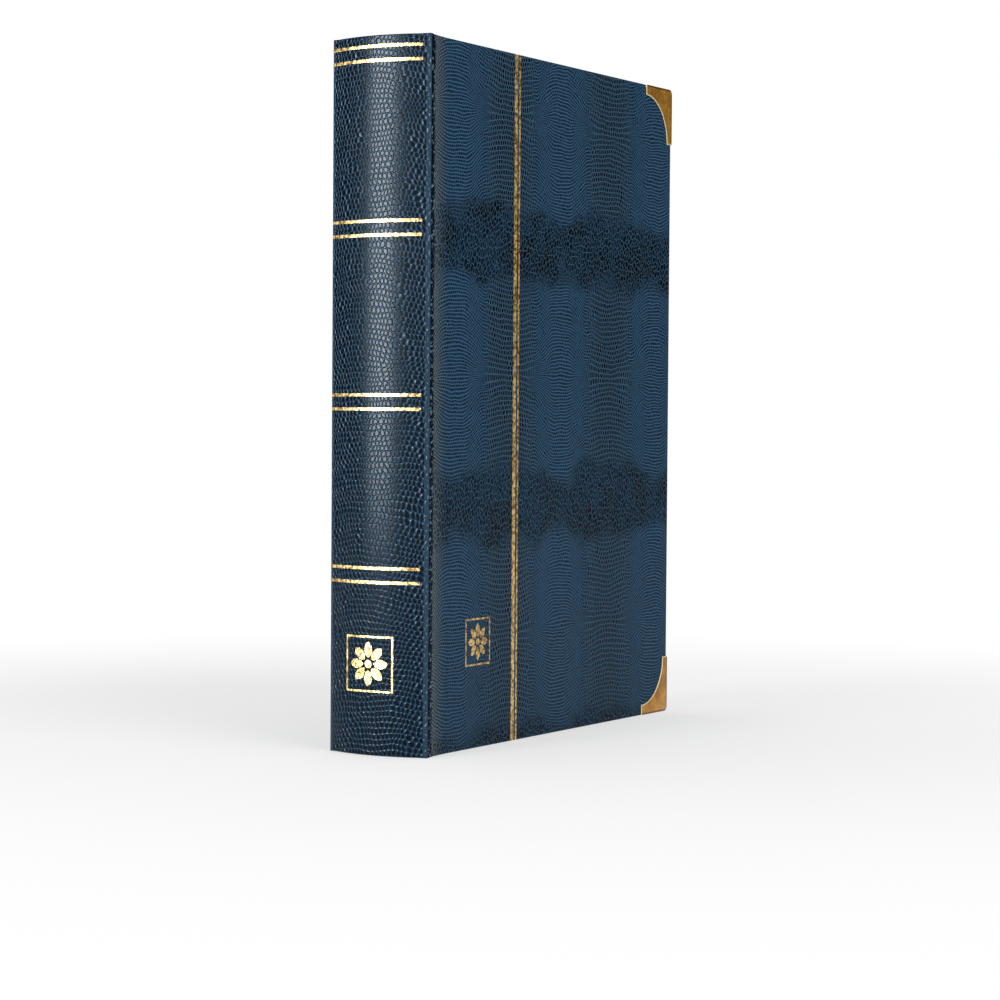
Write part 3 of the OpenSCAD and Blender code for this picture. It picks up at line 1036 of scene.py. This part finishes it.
def copy_node(node: str, name: str) -> bpy.types.Object:
    """Copies a CAD node into a new piece with clean faces.

    Args:
        node: The CAD node's name.
        name: The piece's name.

    Returns:
        The piece, with its doubles merged and its flat faces whole.
    """
    piece = bpy.data.objects.new(name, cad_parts[node].data.copy())
    bpy.context.scene.collection.objects.link(piece)
    open_mesh(piece)
    bpy.ops.mesh.remove_doubles(threshold=SAME_PLACE)
    bpy.ops.mesh.customdata_custom_splitnormals_clear()
    bpy.ops.mesh.dissolve_limited(angle_limit=SAME_FACE)
    close_mesh()
    return piece


def add_plane(name: str, place: Place, turn: Place = (0.0, 0.0, 0.0), size: float = 1.0) -> bpy.types.Object:
    """Adds a flat square.

    Args:
        name: Its name.
        place: Its middle.
        turn: Its turn about X, Y and Z.
        size: The length of its sides.

    Returns:
        The square, as the only object that is selected.
    """
    bpy.ops.object.select_all(action="DESELECT")
    bpy.ops.mesh.primitive_plane_add(size=size, location=place, rotation=turn)
    plane = bpy.context.object
    plane.name = name
    return plane


def smooth(piece: bpy.types.Object, degrees: float = 35.0) -> None:
    """Shades a piece smooth, apart from its sharper edges."""
    only(piece)
    bpy.ops.object.shade_smooth_by_angle(angle=math.radians(degrees))


def soften(piece: bpy.types.Object, width: float, segments: int = 3, degrees: float = 40.0) -> None:
    """Rounds the sharp edges of a piece and shades it smooth.

    Args:
        piece: The piece.
        width: The bevel's width, in metres.
        segments: Its number of segments.
        degrees: The least angle of an edge that is rounded.
    """
    only(piece)
    bevel = piece.modifiers.new("soft_edges", "BEVEL")
    bevel.width = width
    bevel.segments = segments
    bevel.limit_method = "ANGLE"
    bevel.angle_limit = math.radians(degrees)
    bpy.ops.object.modifier_apply(modifier=bevel.name)
    smooth(piece)


def round_edges(piece: bpy.types.Object, chosen: Callable[[Vector, Vector], bool], width: float,
                segments: int) -> None:
    """Rounds some edges of a piece.

    Args:
        piece: The piece.
        chosen: Says of the two ends of an edge whether it is rounded.
        width: How far the rounding reaches along both faces, in metres.
        segments: Its number of segments.
    """
    open_some(piece, Part.EDGES, chosen)
    bpy.ops.mesh.bevel(offset=width, segments=segments, profile=0.5, affect="EDGES")
    close_mesh()


def move_points(piece: bpy.types.Object, chosen: Callable[[Vector], bool], by: Vector) -> None:
    """Moves some points of a piece.

    Args:
        piece: The piece.
        chosen: Says of a point's place whether it moves.
        by: How far they move.
    """
    open_some(piece, Part.POINTS, chosen)
    bpy.ops.transform.translate(value=by)
    close_mesh()


def cut(piece: bpy.types.Object, place: Place, normal: Place) -> None:
    """Cuts the faces of a piece along a plane and keeps both parts joined.

    Args:
        piece: The piece.
        place: A point of the plane.
        normal: The plane's normal.
    """
    open_mesh(piece)
    bpy.ops.mesh.bisect(plane_co=place, plane_no=normal)
    close_mesh()


# The album


@dataclass
class Case:
    """The leatherette case with its boards, linings and gold."""

    end_round: float = 0.8 * MM
    crease_round: float = 0.8 * MM
    near: float = 0.02 * MM
    rule_cuts: tuple[float, ...] = (1.0, 0.7, 0.4, 0.18)
    joint_depth: float = 0.3 * MM
    joint_bend: float = 2.0 * MM
    joint_thickness: float = 0.24 * MM
    joint_inset: float = 0.3 * MM
    joint_folds: int = 16
    cover_lean: float = math.radians(10.5)
    ridge: float = field(init=False)
    ridge_rise: float = field(init=False)
    skin: float = field(init=False)
    height: float = field(init=False)
    spine_radius: float = field(init=False)
    spine_middle: float = field(init=False)

    def __post_init__(self) -> None:
        """Reads the case's sizes from the frame."""
        low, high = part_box("front_cover_leather")
        self.ridge = low.x
        self.ridge_rise = -low.y
        self.height = high.z
        self.skin = -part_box("front_gold_tooling")[1].y
        rise = self.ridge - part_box("spine_leather")[0].x
        self.spine_radius = (self.ridge_rise ** 2 + rise ** 2) / (2.0 * rise)
        self.spine_middle = self.ridge - rise + self.spine_radius

    def on_ridge(self, start: Vector, end: Vector) -> bool:
        """Tells the edges along a joint ridge.

        Args:
            start: One end of an edge.
            end: Its other end.

        Returns:
            Whether the edge lies there.
        """
        return all(abs(point.x - self.ridge) < self.near and abs(abs(point.y) - self.ridge_rise) < self.near
                   for point in (start, end))

    def on_end(self, start: Vector, end: Vector) -> bool:
        """Tells the edges of the outer face at head and tail.

        Args:
            start: One end of an edge.
            end: Its other end.

        Returns:
            Whether the edge lies there.
        """
        for level in (0.0, self.height):
            if abs(start.z - level) < self.near and abs(end.z - level) < self.near:
                return self.is_outside(start) and self.is_outside(end)
        return False

    def is_outside(self, point: Vector) -> bool:
        """Tells the points of the outer face of a cover or the spine.

        Args:
            point: The point.

        Returns:
            Whether the point lies there.
        """
        if point.x > self.ridge + self.near:
            return abs(point.y) > self.skin - self.near
        return math.hypot(point.x - self.spine_middle, point.y) > self.spine_radius - self.near

    def build(self) -> list[bpy.types.Object]:
        """Builds the skins and dresses the rest of the case.

        Returns:
            The pieces of the case.
        """
        cover = Leatherette("cover_leatherette", Face.COVER, self.ridge, self.skin).build()
        spine = Leatherette("spine_leatherette", Face.SPINE, self.ridge, self.skin, cell_width=2.05 * MM,
                            row_pitch=2.3 * MM, arch_height=2.5 * MM, wave_period=60.0 * MM,
                            crest=-22.0 * MM, unevenness=0.25, band_share=0.0, fine_share=0.0,
                            relief=0.24 * MM, roughness=0.22, groove_roughness=0.3, gloss=0.08,
                            # The spine's lighter outline colour is partly printed two-tone and partly a
                            # painted highlight on the cell edges.
                            line_width=0.14, roundness=3.0, outline=rgb(0.013, 0.054, 0.102),
                            cell_trough=rgb(0.001, 0.006, 0.014)).build()
        pieces = []
        for node, body, material in (("front_cover_leather", "front_cover", cover),
                                     ("back_cover_leather", "back_cover", cover),
                                     ("spine_leather", "spine", spine)):
            skin = copy_node(node, node.replace("leather", "skin"))
            round_edges(skin, self.on_ridge, self.crease_round, segments=5)
            round_edges(skin, self.on_end, self.end_round, segments=4)
            smooth(skin)
            dress(skin, material)
            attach(skin, body)
            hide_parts(node)
            pieces.append(skin)
        pieces += [self.add_joint("front", -1, spine), self.add_joint("back", 1, spine)]
        foil = GoldFoil().build()
        return [*pieces, self.wrap_rule(foil), *self.dress_linings(foil)]

    def add_joint(self, side: str, turn: int, leather: bpy.types.Material) -> bpy.types.Object:
        """Builds the thin leather that runs through a joint, below the fold between spine and cover.

        Args:
            side: The cover's side of the album.
            turn: 1 for the side at +Y, -1 for the side at -Y.
            leather: The leather's material.

        Returns:
            The strip of leather.
        """
        spine_lean = math.asin(self.ridge_rise / self.spine_radius)
        half = (math.pi / 2.0 + spine_lean - self.cover_lean) / 2.0
        slope = self.cover_lean + half
        reach = (self.joint_depth + self.joint_bend) / math.sin(half)
        middle = Vector((self.ridge + reach * math.cos(slope),
                         turn * (self.ridge_rise - reach * math.sin(slope)), self.height / 2.0))
        first = turn * (math.pi - spine_lean)
        last = turn * (math.pi / 2.0 - self.cover_lean)
        start, end = (middle + self.joint_bend * Vector((math.cos(angle), math.sin(angle), 0.0))
                      for angle in (first, last))
        strip = add_plane(f"{side}_joint_leather", start, (math.pi / 2.0, 0.0, first))
        strip.scale = (self.joint_thickness, self.height - 2.0 * self.joint_inset, 1.0)
        bpy.ops.object.transform_apply(location=True, rotation=True, scale=True)
        open_mesh(strip)
        bpy.ops.mesh.spin(steps=self.joint_folds, angle=first - last, center=middle, axis=(0.0, 0.0, 1.0))
        bpy.ops.mesh.select_all(action="SELECT")
        bpy.ops.mesh.normals_make_consistent(inside=False)
        close_mesh()
        smooth(strip)
        dress(strip, leather)
        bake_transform(strip)
        return strip

    def wrap_rule(self, foil: bpy.types.Material) -> bpy.types.Object:
        """Builds the cover's gold, with its rules laid over the rounded head and tail.

        Args:
            foil: The foil's material.

        Returns:
            The gold.
        """
        gold = copy_node("front_gold_tooling", "front_gold")
        depths = [self.end_round * share for share in self.rule_cuts]
        for depth in depths:
            for level in (depth, self.height - depth):
                cut(gold, (0.0, 0.0, level), (0.0, 0.0, 1.0))
        for depth in (*depths[1:], 0.0):
            sunk = self.end_round - math.sqrt(self.end_round ** 2 - (self.end_round - depth) ** 2)
            for level in (depth, self.height - depth):
                move_points(gold, lambda point, level=level: abs(point.z - level) < self.near,
                            Vector((0.0, sunk, 0.0)))
        smooth(gold)
        dress(gold, foil)
        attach(gold, "front_cover")
        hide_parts("front_gold_tooling")
        return gold

    def dress_linings(self, foil: bpy.types.Material) -> list[bpy.types.Object]:
        """Dresses the boards, papers, cloths and the spine's foil, which keep their CAD shape.

        Args:
            foil: The foil's material.

        Returns:
            The pieces that it dressed.
        """
        board = PlainPaper("grey_board", rgb(0.33, 0.31, 0.28), rgb(0.24, 0.22, 0.20)).build()
        paper = PlainPaper("endpaper", rgb(0.84, 0.84, 0.86), rgb(0.78, 0.78, 0.80)).build()
        kraft = PlainPaper("spine_kraft", rgb(0.40, 0.29, 0.18), rgb(0.32, 0.23, 0.14)).build()
        cloth = PlainPaper("joint_cloth", rgb(0.72, 0.71, 0.67), rgb(0.60, 0.59, 0.55)).build()
        finishes = {"gold_tooling": foil, "board": board, "endpaper": paper, "lining": kraft,
                    "joint_cloth": cloth}
        dressed = []
        for node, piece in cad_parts.items():
            for ending, material in finishes.items():
                if node.endswith(ending):
                    dress(piece, material)
                    dressed.append(piece)
        return dressed


@dataclass
class Corners:
    """The four brass corners."""

    edge_round: float = 0.18 * MM

    def build(self) -> list[bpy.types.Object]:
        """Builds each corner as a plate with rounded edges.

        Returns:
            The corners.
        """
        low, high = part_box("front_top_corner")
        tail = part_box("front_bottom_corner")[0].z
        brass = Brass(fore=high.x, head=high.z, tail=tail, leg=high.z - low.z).build()
        pieces = []
        for side in ("front", "back"):
            for end in ("top", "bottom"):
                node = f"{side}_{end}_corner"
                piece = copy_node(node, f"{side}_{end}_brass")
                soften(piece, self.edge_round)
                dress(piece, brass)
                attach(piece, f"{side}_cover")
                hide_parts(node)
                pieces.append(piece)
        return pieces


@dataclass
class LeafBlock:
    """The pocket leaves and the interleaves."""

    guard_width: float = 8.0 * MM
    linen_gap: float = 4.0 * MM
    linen_lap: float = 8.0 * MM
    strip_margin_back: float = 6.0 * MM
    strip_margin_fore: float = 10.0 * MM
    sheet_corner: float = 12.0 * MM
    near: float = 0.1 * MM
    least_thickness: float = 0.01 * MM
    hump_folds: int = 60
    hump_start: float = 2.0 * MM
    hump_end: float = 105.0 * MM

    def build(self) -> list[bpy.types.Object]:
        """Dresses the leaves and the loose interleaves.

        Returns:
            The pieces of the block.
        """
        low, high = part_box("leaf_01")
        linen_end = low.x + self.guard_width + self.linen_gap + self.linen_lap
        card = LeafCard("pocket_leaf", linen_end=linen_end, fore=high.x, head=high.z, tail=low.z,
                        strip_start=linen_end + self.strip_margin_back,
                        strip_end=high.x - self.strip_margin_fore).build()
        glassine = Glassine().build()
        pieces = []
        for node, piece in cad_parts.items():
            for start, material in (("leaf_", card), ("interleaf", glassine)):
                if node.startswith(start):
                    dress(piece, material)
                    pieces.append(piece)
        return [*pieces, self.add_hump(glassine)]

    def add_hump(self, glassine: bpy.types.Material) -> bpy.types.Object:
        """Builds the upper loose interleaf as a flat sheet with rounded outer corners, cut across into narrow
        strips.

        Args:
            glassine: The sheet's material.

        Returns:
            The sheet.
        """
        low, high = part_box("interleaf_upper")
        reach = high - low

        def at_corner(start: Vector, end: Vector) -> bool:
            """Tells the edges through the sheet at its outer corners.

            Args:
                start: One end of an edge.
                end: Its other end.

            Returns:
                Whether the edge lies there.
            """
            return (min(start.x, end.x) > high.x - self.near and abs(start.z - end.z) < self.near
                    and abs(start.y - end.y) > self.least_thickness)

        bpy.ops.object.select_all(action="DESELECT")
        bpy.ops.mesh.primitive_cube_add(size=1.0, location=(low + high) * 0.5)
        sheet = bpy.context.object
        sheet.name = "interleaf_hump"
        sheet.scale = reach
        bpy.ops.object.transform_apply(location=True, rotation=False, scale=True)
        round_edges(sheet, at_corner, self.sheet_corner, segments=8)
        for fold in range(1, self.hump_folds):
            cut(sheet, (low.x + reach.x * fold / self.hump_folds, 0.0, 0.0), (1.0, 0.0, 0.0))
        smooth(sheet, degrees=60.0)
        dress(sheet, glassine)
        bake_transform(sheet)
        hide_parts("interleaf_upper")
        return sheet


# The studio


@dataclass(frozen=True)
class Lamp:
    """A rectangular area lamp, turned to its target."""

    name: str
    place: Place
    target: Place
    size: tuple[float, float]
    watts: float
    colour: tuple[float, float, float] = (1.0, 1.0, 1.0)
    is_diffuse: bool = True

    def build(self) -> None:
        """Adds the lamp, which only lights by reflection where it isn't diffuse."""
        data = bpy.data.lights.new(self.name, "AREA")
        data.shape = "RECTANGLE"
        data.size, data.size_y = self.size
        data.energy = self.watts
        data.color = self.colour
        lamp = bpy.data.objects.new(self.name, data)
        bpy.context.scene.collection.objects.link(lamp)
        lamp.location = self.place
        lamp.rotation_euler = (Vector(self.target) - Vector(self.place)).to_track_quat("-Z", "Y").to_euler()
        lamp.visible_diffuse = self.is_diffuse


@dataclass(frozen=True)
class Flag:
    """A dark studio flag that only reflections see."""

    name: str
    place: Place
    size: tuple[float, float]
    colour: Colour = rgb(0.02, 0.02, 0.02)

    def build(self) -> bpy.types.Object:
        """Builds the flag, upright and turned to the album.

        Returns:
            The flag.
        """
        facing = (-Vector((self.place[0], self.place[1], 0.0))).to_track_quat("Z", "Y")
        flag = add_plane(self.name, self.place, facing.to_euler())
        flag.scale = (*self.size, 1.0)
        cloth = new_material(f"{self.name}_cloth", Base_Color=self.colour, Roughness=1.0,
                             Specular_IOR_Level=0.0)[0]
        dress(flag, cloth)
        flag.visible_camera = False
        flag.visible_diffuse = False
        flag.visible_shadow = False
        flag.visible_transmission = False
        return flag


@dataclass
class Studio:
    """Pale floor, soft lamps and the camera."""

    camera_place: Vector = field(default_factory=lambda: Vector((-1072.9, -628.2, 144.7)) * MM)
    camera_turn: float = math.radians(30.541)
    camera_pitch: float = math.radians(1.78)
    camera_roll: float = math.radians(0.396)
    camera_near: float = 0.01
    camera_far: float = 50.0
    lens_pixels: float = 2700.0
    picture_pixels: float = 1000.0
    sensor: float = 36.0
    floor_size: float = 14.0
    floor_drop: float = 0.1 * MM
    floor_near: float = 0.20
    floor_far: float = 0.60
    floor_glow: float = 0.5
    floor_colour: Colour = rgb(0.96, 0.96, 0.96)
    sky: float = 0.4
    lamps: tuple[Lamp, ...] = (
        Lamp("left_softbox", (-1.26, 0.30, 0.45), (-0.12, 0.0, 0.2), (0.34, 1.1), 6.0),
        Lamp("strip_light", (-1.25, 0.54, 0.5), (-0.12, 0.0, 0.3), (0.5, 1.2), 118.0,
             colour=(0.86, 0.94, 1.0), is_diffuse=False),
        Lamp("front_softbox", (-0.5, -1.6, 1.3), (0.0, 0.0, 0.15), (1.4, 1.4), 15.0),
        Lamp("top_softbox", (0.2, 0.3, 1.9), (0.0, 0.0, 0.1), (1.6, 1.6), 9.0))
    flags: tuple[Flag, ...] = (
        Flag("right_flag", (1.0, -0.62, 0.65), (2.0, 1.3)),
        Flag("left_flag", (-0.62, 1.15, 0.6), (1.3, 1.3)),
        Flag("far_flag", (0.45, 1.2, 0.6), (1.4, 1.3)))

    def build(self) -> list[bpy.types.Object]:
        """Builds the floor, the world, the lamps, the flags and the camera.

        Returns:
            The floor and the flags.
        """
        floor = self.add_floor()
        self.add_world()
        for lamp in self.lamps:
            lamp.build()
        flags = [flag.build() for flag in self.flags]
        self.add_camera()
        return [floor, *flags]

    def add_camera(self) -> None:
        """Adds the camera and makes it the scene's own."""
        data = bpy.data.cameras.new("camera")
        data.sensor_width = self.sensor
        data.lens = self.sensor * self.lens_pixels / self.picture_pixels
        data.clip_start = self.camera_near
        data.clip_end = self.camera_far
        camera = bpy.data.objects.new("camera", data)
        bpy.context.scene.collection.objects.link(camera)
        turn = Matrix.Rotation(self.camera_turn - math.pi / 2, 4, "Z")
        tilt = Matrix.Rotation(math.pi / 2 - self.camera_pitch, 4, "X")
        roll = Matrix.Rotation(self.camera_roll, 4, "Z")
        camera.matrix_world = Matrix.Translation(self.camera_place) @ turn @ tilt @ roll
        bpy.context.scene.camera = camera

    def add_floor(self) -> bpy.types.Object:
        """Builds a pale floor that fades to the white of the world away from the album.

        Returns:
            The floor.
        """
        floor = add_plane("floor", (0.0, 0.0, -self.floor_drop), size=self.floor_size)
        material, graph, shader = new_material("floor_paper", Base_Color=self.floor_colour, Roughness=1.0,
                                               Specular_IOR_Level=0.0)
        x, y, _ = graph.split(graph.place())
        away = graph.ramp(graph.reach(x, y), self.floor_near, self.floor_far, self.floor_glow)
        glow = graph.node("ShaderNodeEmission")
        both = graph.node("ShaderNodeMixShader")
        graph.feed(both.inputs[0], graph.math("MULTIPLY", away, graph.seen()))
        graph.feed(both.inputs[1], shader.outputs[0])
        graph.feed(both.inputs[2], glow.outputs[0])
        graph.feed(material.node_tree.nodes["Material Output"].inputs["Surface"], both.outputs[0])
        dress(floor, material)
        return floor

    def add_world(self) -> None:
        """Sets an even white world, brighter to the eye than to the pieces."""
        world = bpy.data.worlds.new("studio")
        bpy.context.scene.world = world
        world.use_nodes = True
        graph = Graph(world.node_tree)
        background = world.node_tree.nodes["Background"]
        background.inputs["Color"].default_value = rgb(1.0, 1.0, 1.0)
        strength = graph.math("MULTIPLY_ADD", graph.seen(), 1.0 - self.sky, self.sky)
        graph.feed(background.inputs["Strength"], strength)
        bpy.context.scene.view_settings.view_transform = "Standard"


def main() -> None:
    """Builds the studio and the album in order, and reports each piece."""
    logging.basicConfig(level=logging.INFO, format="%(name)s: %(message)s")
    for assembly in (Studio(), Case(), Corners(), LeafBlock()):
        for piece in assembly.build():
            LOG.info("%s: %s, %d faces", type(assembly).__name__, piece.name, len(piece.data.polygons))


if __name__ == "__main__":
    main()
